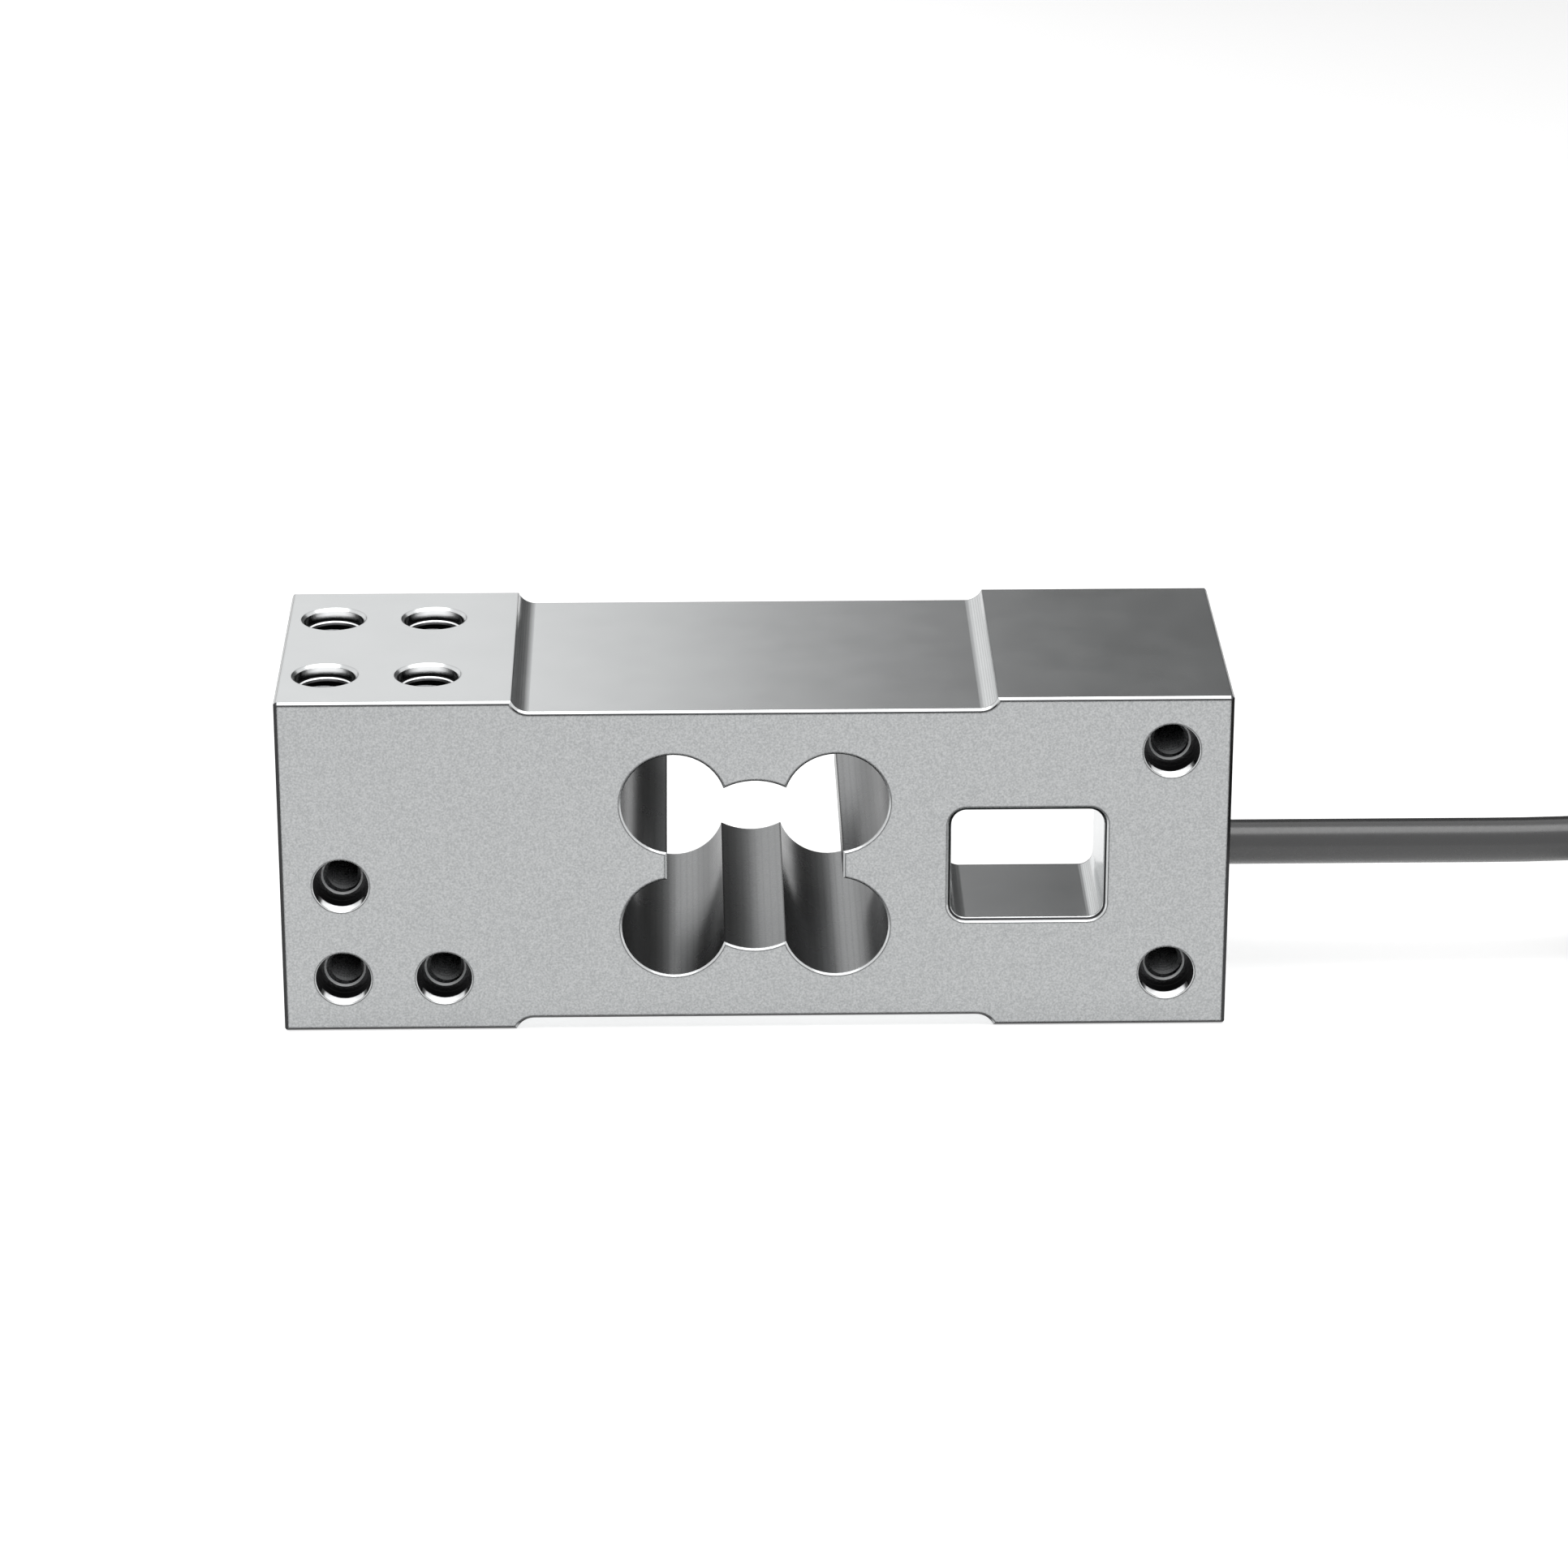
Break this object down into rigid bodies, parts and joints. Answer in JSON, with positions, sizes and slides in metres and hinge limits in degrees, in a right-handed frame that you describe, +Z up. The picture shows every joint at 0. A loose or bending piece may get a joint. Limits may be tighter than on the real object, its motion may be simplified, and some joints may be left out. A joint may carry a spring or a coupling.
{
  "type": "single point load cell",
  "caption": "Rectangular aluminium weighing beam with a four-lobed bending cut-out, a wired pocket at the cable end, threaded mounting holes and a tied hank of cable.",
  "frame": {"origin": "middle of the sensing block's underside, where its bottom pads stand, with the cable and its hank left out", "axes": "+X along the block towards the cable end, +Y across the block away from the face with the side holes, +Z up through the top pads"},
  "size_m": [0.345, 0.0666, 0.056],
  "materials": {
    "body_metal": "satin, finely bead blasted sides, faint brushing on the pads",
    "gauge_foil": "amber film with an etched foil grid",
    "terminal_board": "glass fibre strip with copper pads",
    "wire_red": "insulated wire",
    "wire_black": "insulated wire",
    "wire_green": "insulated wire",
    "wire_white": "insulated wire",
    "wire_yellow": "sleeved drain wire",
    "sealant": "cast white silicone",
    "adhesive": "double-sided tape",
    "circuit_board": "green solder mask under clear lacquer",
    "resistor": "chip resistor with tinned caps",
    "solder": "bright solder",
    "potting": "black cast resin",
    "jacket": "glossy black cable jacket",
    "strap": "woven hook-and-loop band",
    "heat_shrink": "black heat-shrink sleeve",
    "tinned_copper": "tinned stranded copper"
  },
  "bodies": {
    "root": {"sensing_body": "body_metal", "strain_gauge_1": "gauge_foil", "strain_gauge_2": "gauge_foil", "strain_gauge_3": "gauge_foil", "strain_gauge_4": "gauge_foil", "terminal_strip_1": "terminal_board", "terminal_strip_2": "terminal_board", "bridge_wire_1": "wire_red", "bridge_wire_2": "wire_black", "bridge_wire_3": "wire_green", "bridge_wire_4": "wire_white", "gauge_sealant": "sealant", "board_adhesive": "adhesive", "compensation_board": "circuit_board", "span_resistor_1": "resistor", "span_resistor_2": "resistor", "zero_resistor": "resistor", "balance_resistor": "resistor", "conductor_red": "wire_red", "conductor_black": "wire_black", "conductor_green": "wire_green", "conductor_white": "wire_white", "solder_joints": "solder", "cable_seal": "potting", "cable": "jacket", "cable_tail": "jacket", "cable_hank": "jacket", "hank_strap": "strap", "end_sleeve": "heat_shrink", "lead_red": "wire_red", "tip_red": "tinned_copper", "lead_black": "wire_black", "tip_black": "tinned_copper", "lead_green": "wire_green", "tip_green": "tinned_copper", "lead_white": "wire_white", "tip_white": "tinned_copper", "lead_drain": "wire_yellow", "tip_drain": "tinned_copper"}
  },
  "joints": []
}
